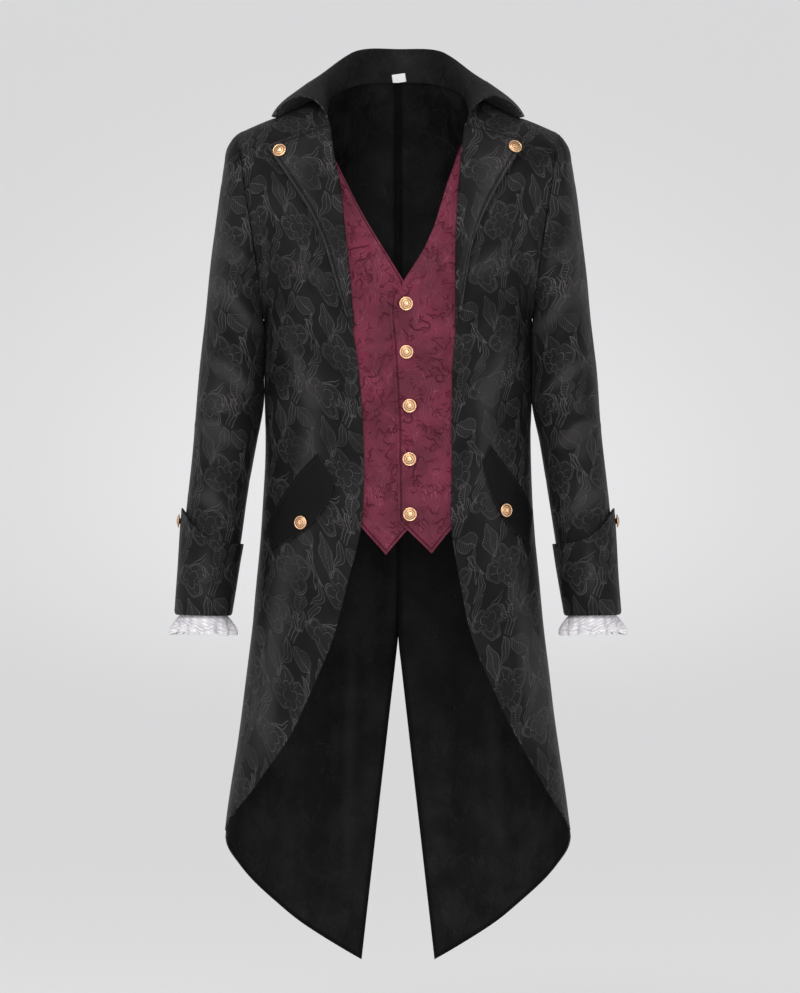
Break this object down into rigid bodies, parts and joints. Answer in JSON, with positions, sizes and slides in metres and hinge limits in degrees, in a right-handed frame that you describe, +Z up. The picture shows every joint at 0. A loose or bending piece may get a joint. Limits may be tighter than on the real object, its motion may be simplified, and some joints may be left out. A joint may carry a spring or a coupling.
{
  "type": "frock coat",
  "caption": "Cut-away tail coat of figured black cloth with a turned-down collar, lapels, lace cuffs, domed metal buttons and a sewn-in burgundy waistcoat front, standing hollow as worn.",
  "frame": {"origin": "midway between the neck ends of the two shoulder seams, where a wearer carries the coat", "axes": "+Z up along the wearer's spine, -Y the way the front of the coat faces, +X to the right of a viewer who stands in front of it"},
  "size_m": [0.5978, 0.2868, 1.2206],
  "materials": {
    "black_cloth": "woven black cloth with a raised scroll pattern",
    "black_satin": "plain black satin",
    "burgundy_cloth": "woven burgundy cloth with a raised scroll pattern",
    "white_lace": "fine white net lace",
    "white_label": "blank woven label",
    "brass": "polished yellow metal"
  },
  "bodies": {
    "root": {"back_left": "black_cloth", "back_right": "black_cloth", "front_left": "black_cloth", "front_right": "black_cloth", "sleeve_left": "black_cloth", "sleeve_right": "black_cloth", "cuff_left": "black_cloth", "cuff_right": "black_cloth", "lace_left": "white_lace", "lace_right": "white_lace", "collar": "black_cloth", "label": "white_label", "lapel_left": "black_cloth", "lapel_right": "black_cloth", "pocket_flap_left": "black_satin", "pocket_flap_right": "black_satin", "vest_left": "burgundy_cloth", "vest_right": "burgundy_cloth", "button_vest_1": "brass", "button_vest_2": "brass", "button_vest_3": "brass", "button_vest_4": "brass", "button_vest_5": "brass", "button_lapel_left": "brass", "button_lapel_right": "brass", "button_pocket_left": "brass", "button_pocket_right": "brass", "button_cuff_left": "brass", "button_cuff_right": "brass"}
  },
  "joints": []
}
